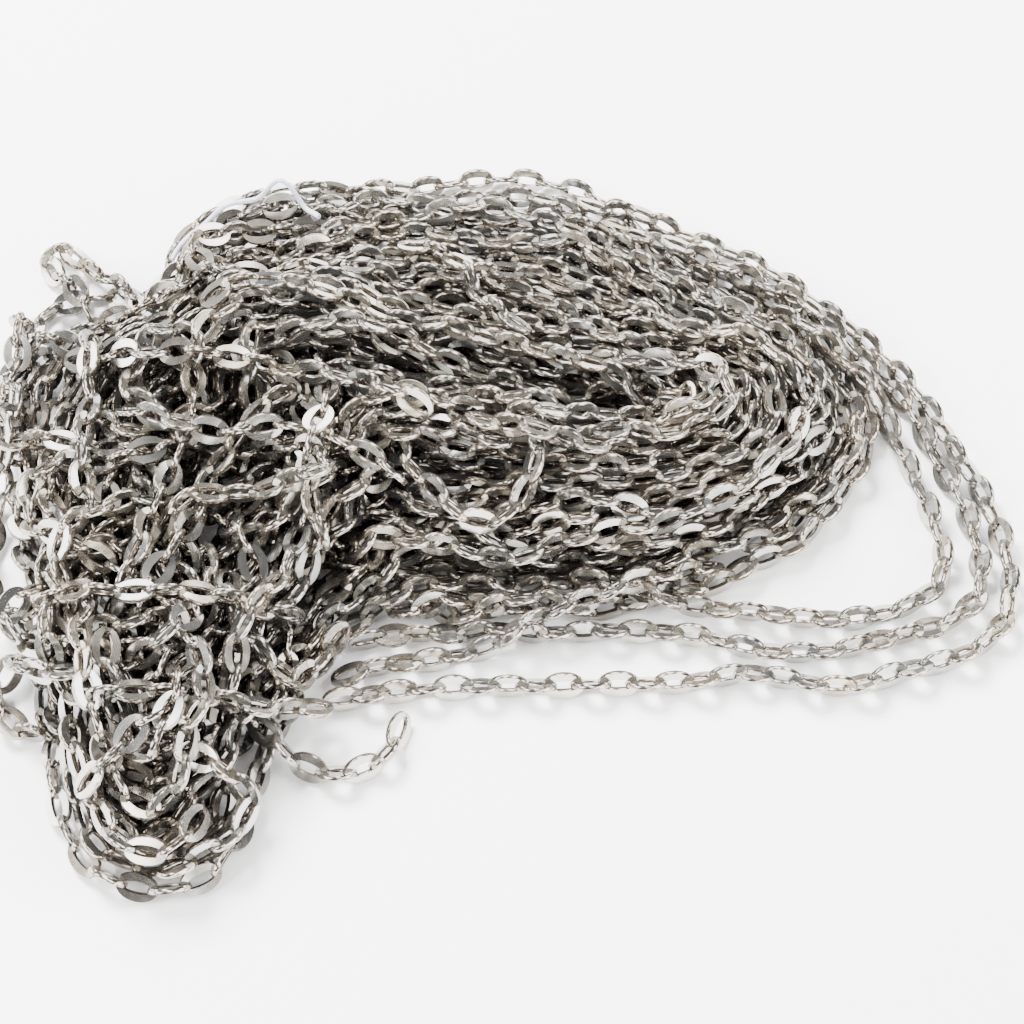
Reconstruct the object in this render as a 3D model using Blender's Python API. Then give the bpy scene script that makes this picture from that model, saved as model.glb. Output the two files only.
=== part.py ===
"""A heap of fine steel chain, one long flat oval cable chain bunched as a tied hank.

The hank lies on a level floor. A plain core stands for its hidden inside. Every strand that
shows is a solid of its own: a loose strand on the floor is made of open oval links, joined
where they hang in each other, and a strand of the heap is a loft that swells once for each
link, turned by a quarter from one link to the next. Each strand is laid on whatever is under
it, from the bottom up. Plan coordinates are millimetres: x to the right, y away, z up.
"""
import math

import bmesh
import bpy
import numpy as np
from mathutils import Matrix, Vector
from mathutils.bvhtree import BVHTree

MM = 0.001

# The link: an oval ring with flattened side rails, seen from its flat side
LINK_LENGTH = 3.3
LINK_WIDTH = 2.4
END_WIRE = 0.56
SIDE_RAIL = 0.62
LINK_THICKNESS = 0.5
LINK_PITCH = 2.3
LINK_SIDES = 6
WIRE_SIDES = 4

# A link leans at 45 degrees, so a strand lying on a flat surface is this high and wide
LEAN = math.radians(45)
LOOSE_LEANS = (math.radians(-41), math.radians(48))
LINK_REACH = 1.02
LINK_NECK = 0.4
HALF_STRAND = LINK_REACH * math.sin(LEAN)
HALF_LOOSE = 1.06

# Spaces that keep neighbouring solids apart
STRAND_SPACING = 2.2
CLEARANCE = 0.16
PLAN_CLEARANCE = 0.22

# The middle of the whole heap, which becomes the part's own origin
MIDDLE = (-2.0, 0.4)

# Each lobe is a nest of turns, from an outermost one on the floor to an innermost one at its
# top. The core under them closes each turn through the points of the lobe's open end.
HANK = {
    "outer": [(-27.5, 30.2), (-18, 32.6), (-8, 33.6), (1.5, 34), (10, 31), (17.5, 25.2),
              (24, 18), (29, 9.5), (27.6, 3.4), (21, -2.2), (12.5, -6.9), (5, -9),
              (-1.5, -9.4), (-8, -8.6)],
    "inner": [(-25.5, 15.2), (-18, 16.6), (-9, 17), (0, 16.4), (7, 14.8), (12, 12.6),
              (15.6, 10.2), (17.4, 7.4), (16, 5.2), (12.6, 3.8), (8.4, 3.2), (4, 2.9),
              (-1.5, 2.9), (-8, 3.6)],
    "outer_end": [(-8.8, -3), (-10.5, 4), (-17, 9.5), (-24, 12.8)],
    "inner_end": [(-10, 5.4), (-13, 7.5), (-18, 10.4), (-23.5, 13)],
    "depth": 9.6, "rise": 7.2,
}
LEFT = {
    "outer": [(-41.6, 19), (-43.2, 8), (-42.6, -3), (-38.6, -10.5), (-36.4, -17),
              (-34.8, -24), (-31.6, -30.4), (-26, -33.2), (-20.6, -31), (-18.6, -25.5),
              (-14.5, -19.5), (-11.6, -13.5), (-10.8, -5), (-13.5, 3)],
    "inner": [(-30.5, 19.6), (-30.4, 8), (-29.8, -1), (-29.2, -8), (-28.6, -13.4),
              (-28, -17.4), (-27.3, -20.2), (-26, -21.6), (-24.6, -20.6), (-23.6, -17),
              (-22.6, -13), (-21.8, -8), (-21.8, -1), (-23, 5.5)],
    "outer_end": [(-12.2, 7), (-20, 12.2), (-29, 18.4), (-36, 19.4)],
    "inner_end": [(-22, 9), (-24, 12), (-27, 16), (-29, 18.4)],
    "depth": 9.6, "rise": 5.4,
}
CORE_DROP = 2.25
CORE_LEVELS = 5
CORE_POINTS = 40

# Runs that fill the inside of each lobe, laid on the core
HANK_RUNS = {
    "first": [(-25, 13), (-18, 14.3), (-10, 14.7), (-2, 14), (5, 12.4), (10.6, 10.2), (14.2, 7.8)],
    "last": [(-14, 5.6), (-10.6, 6.2), (-7, 6.4), (-3, 6), (0, 5.6), (3, 5.4), (5.6, 5.8)],
    "count": 4,
}
LEFT_RUNS = {
    "first": [(-27.8, 14.5), (-28, 8), (-27.6, 0), (-27.2, -7), (-26.9, -13), (-26.6, -18.6)],
    "last": [(-25.2, 10), (-24.9, 4), (-24.4, -2), (-24.4, -8), (-24.9, -13), (-25, -16)],
    "count": 2,
}

# Loose strands on the floor, from the heap's back right round to its front
LOOSE_ROUTES = {
    "outer_strand": [(21.5, 24.6), (26.4, 20.6), (32, 14.9), (35, 10.4), (37.2, 5.2), (39, 0),
                     (39.4, -5.2), (38.3, -10.6), (34.8, -13.6), (30, -15), (25.4, -16.4),
                     (21.4, -15.8), (17.6, -15.2), (13.5, -16), (8, -16.1), (2, -16.3),
                     (-4, -16.4), (-7.8, -17)],
    "middle_strand": [(26.2, 17.4), (30, 13.4), (33, 9), (34.6, 4.4), (36.2, 0), (37, -4.4),
                      (36.4, -8.6), (33.4, -11), (29.6, -12), (25.6, -13.1), (21.6, -13.5),
                      (18, -13), (14.6, -12), (10.4, -11.6), (6.4, -11.6), (1.8, -11.7),
                      (-2.6, -11.5), (-8, -11.6)],
    "inner_strand": [(27.6, 12.6), (30.2, 9.4), (31.7, 5.4), (33, 1.2), (34, -3), (33.8, -6.8),
                     (31, -9.3), (27, -10.4), (23, -10.5), (19, -9.9), (14.6, -9.6)],
    "front_tail": [(-16.8, -20.8), (-14.6, -22.4), (-12, -22.6), (-9.8, -20.8), (-8.7, -18.8)],
    "left_loop": [(-38.2, -13.4), (-39.2, -16.4), (-38.7, -19.4), (-36.8, -21.4)],
    "front_strand": [(-8.8, -14.4), (-5, -13.9), (-1.6, -12.9), (1.6, -11.4), (5, -10),
                     (9.4, -8.6), (13.6, -6.9)],
    "back_corner_loop": [(-34.2, 16), (-33.6, 19.2), (-33.6, 22.4), (-34.8, 25.2), (-37.2, 26.4),
                         (-39.6, 25), (-40.4, 22.2), (-39.8, 19.2), (-38.8, 16.4)],
}

# Strands laid last: the tangled lengths, then those thrown across the heap
CROSSING_ROUTES = {
    "left_tangle_1": [(-37.5, 13.5), (-33, 15), (-29, 12.5), (-27.5, 8.5), (-30.5, 5), (-35, 4),
                      (-37.6, 0.5), (-35.6, -3)],
    "left_tangle_2": [(-26, 1.5), (-22.4, -1), (-21.6, -5.4), (-25, -7.6), (-30, -6.4),
                      (-34.4, -8.2), (-35.6, -12), (-32, -14.6)],
    "left_tangle_3": [(-32, -11.4), (-29.6, -14.8), (-31, -19), (-28.4, -22.6), (-24.4, -22),
                      (-21.4, -24.4), (-22.6, -27.6)],
    "middle_tangle_1": [(-26, 10.8), (-21.4, 13.4), (-16.6, 13.4), (-12.4, 11), (-8, 9.6),
                        (-3.4, 10.6), (0.6, 12.6)],
    "middle_tangle_2": [(-23.5, 3.4), (-20.4, -0.6), (-17, -3.4), (-13.4, -5.2), (-9.6, -4.4),
                        (-6.4, -2.2), (-2.4, -1.6)],
    "left_across_upper": [(-41, -9.4), (-35, -10.2), (-29, -11.2), (-23, -11.8), (-16.5, -11.2)],
    "left_across_lower": [(-33.6, -18.2), (-28, -19.2), (-23, -19.4), (-18, -18.6), (-13, -17.2)],
    "left_vee": [(-25.5, -8.4), (-22.6, -12.6), (-19.8, -15.8), (-17.6, -12.8), (-15, -9.6)],
    "left_diagonal": [(-31, -26), (-27.4, -23.4), (-23.6, -21)],
    "left_long_run": [(-34, 12.5), (-33.2, 6), (-33.6, 0), (-32.2, -6)],
    "joint_strand_1": [(-36, 10.4), (-30, 9), (-24, 8.8), (-18, 7), (-12, 5.4), (-6, 3.2)],
    "joint_strand_2": [(-31, 3.4), (-25, 2), (-19, 2.4), (-13.4, 0.4), (-8, -2.4)],
    "joint_strand_3": [(-15.4, 9), (-14, 3), (-15.4, -3), (-14.4, -9)],
    "hank_across_1": [(-9.4, 22.6), (-4, 20), (-2.2, 15.4), (2.4, 11.6)],
    "hank_across_2": [(8, 16.6), (14, 13), (19.4, 11.6), (23.4, 8)],
    "hank_across_3": [(-3.4, 2.6), (2, 1), (7.6, 0.8), (13, 2.6)],
    "hank_end_loop": [(-16, 25.6), (-22, 25), (-26.4, 22.6), (-25.4, 18.4), (-20.6, 17.6)],
}

# The turns sway from side to side together, so they stay apart
SWAY = 0.35
SWAY_LENGTH = 16.0

# The tie: a thin plastic thread over the hank's left end, with one arc standing up from it
THREAD_RADIUS = 0.22
THREAD_PLAN = [(-16.4, 26), (-18.4, 28), (-20.4, 28.6), (-22.4, 28.2), (-24.6, 27.6), (-26.8, 26.4),
               (-28.5, 24.8), (-29.2, 23.2)]
THREAD_STEP = 0.5
THREAD_EASE = 1.5
ARC_START, ARC_END, ARC_RISE = 1.6, 6.6, 2.4

FIELD_CELL = 0.4
FIELD_HALF = 56.0
FINE_PER_LINK = 5
DENSE_STEP = 0.2

STEEL = {"name": "stainless_steel", "colour": (0.62, 0.60, 0.57, 1), "roughness": 0.22, "metallic": 1.0}
CORE_STEEL = {"name": "core_steel", "colour": (0.20, 0.19, 0.18, 1), "roughness": 0.45, "metallic": 1.0}
THREAD = {"name": "tie_thread", "colour": (0.78, 0.78, 0.88, 1), "roughness": 0.3, "metallic": 0.0}


def clear_scene():
    """Remove what the new file starts with."""
    for thing in list(bpy.data.objects):
        bpy.data.objects.remove(thing, do_unlink=True)


def make_material(kind):
    """A Principled material from one of the finishes above."""
    material = bpy.data.materials.new(kind["name"])
    material.use_nodes = True
    shader = material.node_tree.nodes["Principled BSDF"]
    shader.inputs["Base Color"].default_value = kind["colour"]
    shader.inputs["Roughness"].default_value = kind["roughness"]
    shader.inputs["Metallic"].default_value = kind["metallic"]
    return material


def smooth_route(points, step):
    """Points at about equal steps along a smooth curve through the given points."""
    route = np.array(points, float)
    first = 2 * route[0] - route[1]
    last = 2 * route[-1] - route[-2]
    route = np.vstack([first, route, last])
    dense = []
    for a, b, c, d in zip(route[:-3], route[1:-2], route[2:-1], route[3:]):
        count = max(2, int(np.linalg.norm(c - b) / DENSE_STEP))
        for t in np.arange(count) / count:
            dense.append(0.5 * (2 * b + (c - a) * t + (2 * a - 5 * b + 4 * c - d) * t ** 2
                                + (3 * b - a - 3 * c + d) * t ** 3))
    dense.append(route[-2])
    dense = np.array(dense)
    along = np.concatenate([[0], np.cumsum(np.linalg.norm(np.diff(dense, axis=0), axis=1))])
    stations = np.linspace(0, along[-1], max(2, round(along[-1] / step)) + 1)
    return np.stack([np.interp(stations, along, dense[:, k]) for k in range(dense.shape[1])], axis=1)


def between(outer, inner, share):
    """A turn part of the way from the outermost to the innermost one."""
    return (1 - share) * np.array(outer, float) + share * np.array(inner, float)


def sway(route):
    """The same route swaying a little from side to side, in step with its neighbours."""
    heading = np.gradient(route, axis=0)
    heading /= np.linalg.norm(heading, axis=1, keepdims=True)
    side = np.stack([-heading[:, 1], heading[:, 0]], axis=1)
    wave = np.sin(2 * math.pi * (route[:, 0] - route[:, 1]) / SWAY_LENGTH)
    return route + side * SWAY * wave[:, None]


def rise_at(lobe, share):
    """How high above the floor a turn's middle lies, from the outermost to the innermost."""
    return HALF_STRAND + lobe["rise"] * math.sin(share * math.pi / 2)


def turn_shares(lobe):
    """Shares that space the turns evenly along the lobe's slope."""
    share = np.linspace(0, 1, 200)
    slope = np.hypot(np.diff(share * lobe["depth"]), np.diff(lobe["rise"] * np.sin(share * math.pi / 2)))
    along = np.concatenate([[0], np.cumsum(slope)])
    count = int(along[-1] / STRAND_SPACING)
    return np.interp(np.linspace(0, along[-1], count + 1), along, share)


class HeightField:
    """The height of the highest thing laid so far, on a square grid over the floor."""

    def __init__(self, core):
        self.ticks = np.arange(-FIELD_HALF, FIELD_HALF, FIELD_CELL)
        self.top = np.zeros((len(self.ticks), len(self.ticks)))
        surface = BVHTree.FromObject(core, bpy.context.evaluated_depsgraph_get())
        down = Vector((0, 0, -1))
        for i, x in enumerate(self.ticks):
            for j, y in enumerate(self.ticks):
                hit = surface.ray_cast(to_part((x, y, FIELD_HALF)), down)[0]
                if hit:
                    self.top[i, j] = hit.z / MM

    def disc(self, x, y, radius):
        """The cells within a radius of a plan point."""
        low_x, low_y = (int((v - radius + FIELD_HALF) / FIELD_CELL) for v in (x, y))
        span = int(2 * radius / FIELD_CELL) + 3
        cells = np.s_[low_x:low_x + span, low_y:low_y + span]
        reach = np.hypot(self.ticks[low_x:low_x + span, None] - x,
                         self.ticks[None, low_y:low_y + span] - y)
        return cells, reach <= radius

    def highest(self, x, y, radius):
        cells, inside = self.disc(x, y, radius)
        return self.top[cells][inside].max()

    def cover(self, x, y, radius, height):
        cells, inside = self.disc(x, y, radius)
        patch = self.top[cells]
        patch[inside] = np.maximum(patch[inside], height)


def lay(field, plan, half):
    """Lay a strand on what is under it and return its points in space."""
    steps = np.arange(0, len(plan) - 1 + 1e-6, 1 / FINE_PER_LINK)
    index = np.minimum(steps.astype(int), len(plan) - 2)
    part = steps - index
    fine = plan[index] * (1 - part)[:, None] + plan[index + 1] * part[:, None]
    reach = half + PLAN_CLEARANCE
    need = np.array([field.highest(x, y, reach) for x, y in fine]) + half + CLEARANCE
    height = np.full(len(plan), half)
    for _ in range(60):
        short = need - (height[index] * (1 - part) + height[index + 1] * part)
        short = np.maximum(short, 0)
        lift = np.zeros(len(plan))
        np.maximum.at(lift, index, short * (1 - part))
        np.maximum.at(lift, index + 1, short * part)
        height += lift
    points = np.column_stack([plan, height + max(0, short.max())])
    cover_strand(field, points, half)
    return points


def cover_strand(field, points, half):
    """Raise the height field over a strand."""
    for near, far in zip(points[:-1], points[1:]):
        for share in np.arange(FINE_PER_LINK) / FINE_PER_LINK:
            x, y, z = near + (far - near) * share
            field.cover(x, y, half, z + half)


def strand_frames(points):
    """The heading, side and up directions at each point of a strand."""
    heading = np.gradient(points, axis=0)
    heading /= np.linalg.norm(heading, axis=1, keepdims=True)
    side = np.stack([heading[:, 1], -heading[:, 0], np.zeros(len(points))], axis=1)
    side /= np.linalg.norm(side, axis=1, keepdims=True)
    return heading, side, np.cross(side, heading)


def to_part(point):
    """From the heap's plan, in millimetres, to the part's own frame, in metres."""
    return Vector(((point[0] - MIDDLE[0]) * MM, (point[1] - MIDDLE[1]) * MM, point[2] * MM))


def add_object(name, mesh, material, collection):
    thing = bpy.data.objects.new(name, mesh)
    thing.data.materials.append(material)
    collection.objects.link(thing)
    return thing


def finish_mesh(mesh_data, name, smooth_angle=None):
    """Turn a bmesh into a mesh with its faces pointing out."""
    bmesh.ops.recalc_face_normals(mesh_data, faces=mesh_data.faces)
    mesh = bpy.data.meshes.new(name)
    mesh_data.to_mesh(mesh)
    mesh_data.free()
    if smooth_angle is not None:
        mesh.shade_smooth()
        mesh.set_sharp_from_angle(angle=smooth_angle)
    return mesh


def make_heap_strand(name, points, material, collection):
    """A strand of the heap: a four-sided loft, wide one way at one link and the other way at the next."""
    _, side, up = strand_frames(points)
    rings = []
    for k, point in enumerate(points):
        wide, thin = (LINK_REACH, LINK_NECK) if k % 2 else (LINK_NECK, LINK_REACH)
        if k in (0, len(points) - 1):
            wide, thin = LINK_NECK, LINK_NECK
        rings.append((point, side[k], up[k], wide, thin))
    body = bmesh.new()
    loops = []
    for centre, across, upward, one, other in rings:
        loop = []
        for corner in range(4):
            angle = LEAN + corner * math.pi / 2
            reach = one if corner % 2 else other
            offset = (across * math.cos(angle) + upward * math.sin(angle)) * reach
            loop.append(body.verts.new(to_part(centre + offset)))
        loops.append(loop)
    for near, far in zip(loops[:-1], loops[1:]):
        for k in range(4):
            body.faces.new((near[k], near[(k + 1) % 4], far[(k + 1) % 4], far[k]))
    body.faces.new(loops[0])
    body.faces.new(loops[-1])
    return add_object(name, finish_mesh(body, name), material, collection)


def add_link(body, matrix):
    """One oval link, from a ring of unit radius, at a place and turn in space."""
    tube = 0.25
    half_side = math.pi / LINK_SIDES
    bpy.ops.mesh.primitive_torus_add(major_segments=LINK_SIDES, minor_segments=WIRE_SIDES,
                                     major_radius=1, minor_radius=tube)
    ring = bpy.context.active_object
    half_length = (LINK_LENGTH - END_WIRE) / 2 / math.cos(half_side)
    half_width = (LINK_WIDTH - SIDE_RAIL) / 2
    for vertex in ring.data.vertices:
        x, y, z = vertex.co
        angle = math.atan2(y, x) + half_side
        outward = (math.hypot(x, y) - 1) / tube
        rail = END_WIRE + (SIDE_RAIL - END_WIRE) * math.sin(angle) ** 2
        normal = Vector((math.cos(angle) * half_width, math.sin(angle) * half_length, 0)).normalized()
        centre = Vector((half_length * math.cos(angle), half_width * math.sin(angle), 0))
        vertex.co = centre + normal * outward * rail / 2 / abs(normal.x if abs(normal.x) > 0.5 else 1)
        vertex.co.z = z / tube * LINK_THICKNESS / 2
    ring.data.transform(matrix)
    body.from_mesh(ring.data)
    mesh = ring.data
    bpy.data.objects.remove(ring, do_unlink=True)
    bpy.data.meshes.remove(mesh)


def make_loose_strand(name, points, material, collection, cutters):
    """A strand of open oval links, each leaning the other way from the last and joined to it."""
    spans = np.diff(points, axis=0)
    lengths = np.linalg.norm(spans, axis=1)
    centres = points[:-1] + spans / 2
    _, side, up = strand_frames(points)
    halves = []
    for first in (0, 1):
        body = bmesh.new()
        for k in range(first, len(spans), 2):
            heading = spans[k] / lengths[k]
            lean = LOOSE_LEANS[k % 2]
            across = side[k] * math.cos(lean) + up[k] * math.sin(lean)
            normal = np.cross(heading, across)
            normal /= np.linalg.norm(normal)
            across = np.cross(normal, heading)
            stretch = Matrix.Diagonal((lengths[k] / LINK_PITCH, 1, 1, 1))
            turn = Matrix([heading, across, normal]).transposed().to_4x4()
            add_link(body, Matrix.Translation(Vector(centres[k])) @ turn @ stretch)
        for vertex in body.verts:
            vertex.co = to_part(vertex.co)
        halves.append(finish_mesh(body, name + ("_odd" if first else "_even")))
    strand = add_object(name, halves[0], material, collection)
    others = add_object(name + "_other_links", halves[1], material, cutters)
    others.hide_render = True
    others.display_type = "WIRE"
    union = strand.modifiers.new("joined_links", "BOOLEAN")
    union.operation = "UNION"
    union.solver = "EXACT"
    union.object = others
    return strand


def make_lobe_core(name, lobe, material, collection):
    """A low mound lofted through the lobe's closed turns, a little under each, with a flat underside."""
    lowest = math.asin((CORE_DROP - HALF_STRAND) / lobe["rise"]) / (math.pi / 2)
    body = bmesh.new()
    loops = []
    for share in np.linspace(lowest, 1, CORE_LEVELS):
        ring = between(lobe["outer"] + lobe["outer_end"], lobe["inner"] + lobe["inner_end"], share)
        plan = smooth_route(np.vstack([ring, ring[:1]]), 1.0)[:-1]
        plan = plan[np.linspace(0, len(plan), CORE_POINTS, endpoint=False).astype(int)]
        height = rise_at(lobe, share) - CORE_DROP
        loops.append([body.verts.new(to_part((x, y, height))) for x, y in plan])
    for near, far in zip(loops[:-1], loops[1:]):
        for k in range(CORE_POINTS):
            after = (k + 1) % CORE_POINTS
            body.faces.new((near[k], near[after], far[after], far[k]))
    body.faces.new(loops[0])
    body.faces.new(loops[-1])
    return add_object(name, finish_mesh(body, name, math.radians(40)), material, collection)


def make_core(collection, cutters, material):
    """The heap's hidden inside: both lobes' mounds as one solid."""
    core = make_lobe_core("heap_core", HANK, material, collection)
    left = make_lobe_core("left_mound", LEFT, material, cutters)
    left.hide_render = True
    left.display_type = "WIRE"
    union = core.modifiers.new("joined_mounds", "BOOLEAN")
    union.operation = "UNION"
    union.solver = "EXACT"
    union.object = left
    return core


def make_thread(field, collection, material):
    """The tie: a thin tube over whatever it crosses, its ends tucked down beside the strands."""
    plan = smooth_route(THREAD_PLAN, THREAD_STEP)
    reach = THREAD_RADIUS + PLAN_CLEARANCE
    rest = np.array([field.highest(x, y, reach) for x, y in plan]) + THREAD_RADIUS + CLEARANCE
    along = np.arange(len(plan)) * THREAD_STEP
    nearby = np.abs(along[:, None] - along[None, :]) < THREAD_EASE
    crest = np.array([rest[near].max() for near in nearby])
    height = np.maximum(rest, np.array([crest[near].mean() for near in nearby]))
    arc = np.clip((along - ARC_START) / (ARC_END - ARC_START), 0, 1)
    height += ARC_RISE * np.sin(arc * math.pi)
    curve = bpy.data.curves.new("tie_thread", "CURVE")
    curve.dimensions = "3D"
    curve.bevel_depth = THREAD_RADIUS * MM
    curve.bevel_resolution = 2
    curve.use_fill_caps = True
    spline = curve.splines.new("POLY")
    spline.points.add(len(plan) - 1)
    for point, (x, y), z in zip(spline.points, plan, height):
        point.co = (*to_part((x, y, z)), 1)
    add_object("tie_thread", curve, material, collection)


def make_turns(prefix, lobe, field, collection, material):
    """A lobe's turns, each a little inside the last and higher up its slope."""
    for number, share in enumerate(turn_shares(lobe), start=1):
        plan = sway(smooth_route(between(lobe["outer"], lobe["inner"], share), LINK_PITCH))
        points = np.column_stack([plan, np.full(len(plan), rise_at(lobe, share))])
        cover_strand(field, points, HALF_STRAND)
        make_heap_strand(f"{prefix}_turn_{number}", points, material, collection)


def make_runs(prefix, runs, field, collection, material):
    """The runs that fill a lobe's inside."""
    for number, share in enumerate(np.linspace(0, 1, runs["count"]), start=1):
        plan = sway(smooth_route(between(runs["first"], runs["last"], share), LINK_PITCH))
        make_heap_strand(f"{prefix}_run_{number}", lay(field, plan, HALF_STRAND), material, collection)


def make_strands(field, collection, cutters, material):
    """Every strand that shows, from the lowest to the highest."""
    make_turns("hank", HANK, field, collection, material)
    make_turns("left", LEFT, field, collection, material)
    make_runs("hank", HANK_RUNS, field, collection, material)
    make_runs("left", LEFT_RUNS, field, collection, material)
    for name, route in LOOSE_ROUTES.items():
        points = lay(field, smooth_route(route, LINK_PITCH), HALF_LOOSE)
        make_loose_strand(name, points, material, collection, cutters)
    for name, route in CROSSING_ROUTES.items():
        points = lay(field, smooth_route(route, LINK_PITCH), HALF_STRAND)
        make_heap_strand(name, points, material, collection)


def main():
    clear_scene()
    parts = bpy.data.collections.new("steel_chain_heap")
    cutters = bpy.data.collections.new("joining_shapes")
    bpy.context.scene.collection.children.link(parts)
    bpy.context.scene.collection.children.link(cutters)
    steel = make_material(STEEL)
    core = make_core(parts, cutters, make_material(CORE_STEEL))
    field = HeightField(core)
    make_strands(field, parts, cutters, steel)
    make_thread(field, parts, make_material(THREAD))


main()
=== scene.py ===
"""The look of a heap of fine steel chain: every link of it, its tie thread, the floor and light.

The chain is laid out as it was wound, in turns that run round the whole heap, with tangled
lengths between them and loose strands beside them. It then settles: links push each other
apart, sink onto each other and rest on the floor. At last one oval link is set at each
place. Plans and sizes are in millimetres, x to the right, y away and z up.
"""
import math
import bmesh
import bpy
import numpy as np
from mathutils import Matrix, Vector


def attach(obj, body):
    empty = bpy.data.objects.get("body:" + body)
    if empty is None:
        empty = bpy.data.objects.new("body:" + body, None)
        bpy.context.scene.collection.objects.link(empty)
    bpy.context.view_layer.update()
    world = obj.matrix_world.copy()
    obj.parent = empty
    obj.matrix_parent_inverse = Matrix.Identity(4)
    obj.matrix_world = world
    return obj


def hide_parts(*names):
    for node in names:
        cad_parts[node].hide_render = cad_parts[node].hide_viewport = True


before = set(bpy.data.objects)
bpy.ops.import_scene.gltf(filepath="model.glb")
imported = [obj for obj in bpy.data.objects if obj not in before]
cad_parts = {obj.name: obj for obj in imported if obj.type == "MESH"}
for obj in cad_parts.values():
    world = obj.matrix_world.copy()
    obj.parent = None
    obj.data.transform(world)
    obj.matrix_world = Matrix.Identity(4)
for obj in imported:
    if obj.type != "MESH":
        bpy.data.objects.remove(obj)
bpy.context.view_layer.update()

MM = 0.001
# The spot of the plans that lies over the part's origin
MIDDLE = (-2.0, 0.4)
SEED = 7
# Keeps a distance from being nought
TINY = 1e-9

# The link, an oval ring of wire whose two side rails are pressed flat. RAIL_POWER says how soon
# its round ends turn into rails, and the edges are how far its corners are cut off
LINK_LENGTH, LINK_WIDTH = 3.3, 2.4
END_WIRE = 0.46
RAIL_WIDTH, RAIL_THICKNESS = 0.76, 0.36
RAIL_EDGE, END_EDGE = 0.05, 0.12
RAIL_POWER = 1.3
SHARP = math.radians(64)
# Steps round a link where it shows and where it is hidden
LINK_STEPS, HIDDEN_STEPS = 20, 9
# A face is pressed where it is this level, and this far from the link's long axis
PRESSED_LEVEL, PRESSED_FROM = 0.9, 0.35

# Each steel's warm and cool colour, its roughness where smooth and where worn, and the strength
# of its hairlines
# The wire's colours are painted darker than the rails': painted shade for the dark that the links'
# rounded sides and ends reflect
WIRE_STEEL_PAINTED_DARKER = (0.44, 0.385, 0.33, 1), (0.38, 0.355, 0.33, 1), 0.06, 0.18, 0.3
RAIL_STEEL = (0.64, 0.595, 0.52, 1), (0.52, 0.535, 0.525, 1), 0.08, 0.2, 0.2
METALLIC = 0.96
# Stains: how many fit in a metre, their tone, and the part of the noise that they take
STAIN_SCALE, STAIN_TONE = 900, 0.86
STAIN_RANGE = 0.35, 0.65
# Hairlines: how many fit in a metre, how they are drawn out, and their height in metres
HAIRLINE_SCALE, HAIRLINE_STRETCH = 14000, (1, 0.25, 1)
HAIRLINE_HEIGHT = 0.00001
# The tone that painted shade gives steel deep inside the heap
PAINTED_SHADE_TONE = 0.5

# The floor: its side in metres, its clouds to a metre, its colours and its roughness
FLOOR_SIDE, FLOOR_CLOUDS = 4, 60
FLOOR_COLOURS = (0.96, 0.965, 0.97, 1), (0.975, 0.97, 0.965, 1)
FLOOR_ROUGHNESS = 0.5, 0.7

# The studio's walls: the noise that their patches follow, and their tones by its value
WALL_SCALE, WALL_DETAIL, WALL_ROUGHNESS = 2.1, 1.5, 0.4
WALL_TONES = [(0.30, (0.005, 0.005, 0.005, 1)), (0.44, (0.013, 0.012, 0.011, 1)),
              (0.48, (0.058, 0.054, 0.049, 1)), (0.56, (0.15, 0.144, 0.134, 1)),
              (0.60, (1.0, 0.97, 0.92, 1)), (0.75, (0.7, 0.78, 0.88, 1))]
# The plain tone that lights the floor and shows behind it, and the strength of both
PLAIN_TONE = (0.056, 0.056, 0.056, 1)
STUDIO_STRENGTH = 12.0
# Each lamp's name, its place and size in metres, and its power in watts
LAMPS = [("back_light", (-0.2, 0.28, 0.42), 0.2, 15.5),
         ("right_light", (0.42, 0.02, 0.3), 0.25, 4.0),
         ("left_light", (-0.4, -0.12, 0.34), 0.22, 5.0)]

# The camera: its focal length and the picture's side in pixels, its sensor's width, the angle
# that it looks down at, and its distance
FOCAL_PIXELS, PICTURE_PIXELS, SENSOR = 2100, 1024, 36
LOOK_DOWN, CAMERA_DISTANCE = math.radians(58.2), 169.5

# The tie: a thin plastic thread over the hank's left end, with one arc standing up from it
THREAD_RADIUS = 0.22
THREAD_PLAN = [(-16.4, 26), (-18.4, 28), (-20.4, 28.6), (-22.4, 28.2), (-24.6, 27.6),
               (-26.8, 26.4), (-28.5, 24.8), (-29.2, 23.2)]
THREAD_STEP = 0.5
ARC_START, ARC_END, ARC_RISE = 1.6, 6.6, 2.4
# It lies this far over the highest link within this reach, smoothed over this many steps
THREAD_CLEARANCE, THREAD_REACH, THREAD_SMOOTHING = 1.1, 1.6, 9
THREAD_LOWEST = 0.5
THREAD_COLOURS = (0.62, 0.62, 0.80, 1), (0.88, 0.88, 0.96, 1)
THREAD_CLOUDS, THREAD_ROUGHNESS = 1500, (0.15, 0.4)
THREAD_CLEARNESS, THREAD_IOR = 0.35, 1.5

# How one link hangs in the next: the steps along wound and loose strands, the range that they
# settle within, how far two links may be from a quarter turn and how sharply a strand may bend,
# and the share of an excess that one step takes back
PITCH, LOOSE_PITCH = 2.2, 2.1
PITCH_LOW, PITCH_HIGH = 1.95, 2.28
QUARTER_PLAY, QUARTER_PUSH = 0.5, 0.4
BEND_LIMIT, BEND_PUSH = 0.64, 0.25

# How links lie round their strand at first, measured from the side that faces the viewer
FRONT = np.array([0, -0.34, 0.94])
ROLL = math.radians(33)
ROLL_SWAY, ROLL_TANGLED, ROLL_LENGTH, ROLL_JITTER = 0.12, 0.4, 14.0, 0.1
ROLL_HOLD = 0.25
# How firmly a strand keeps its place in the plan: wound, tangled, over the heap and loose
WOUND_HOLD, TANGLE_HOLD, OVER_HOLD, LOOSE_HOLD = 0.03, 0.02, 0.06, 0.15

# Settling: its rounds of two steps, how far all sinks in a round, and until how many steps to
# each round; how often the pairs that may touch are found again, and within what margin; and
# how much of its pushes a link follows
SETTLE_ROUNDS, SINK, SINK_UNTIL = 150, 0.02, 1.7
PAIRS_EVERY, PAIRS_MARGIN = 10, 0.35
LINK_EASE = 1.1
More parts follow.
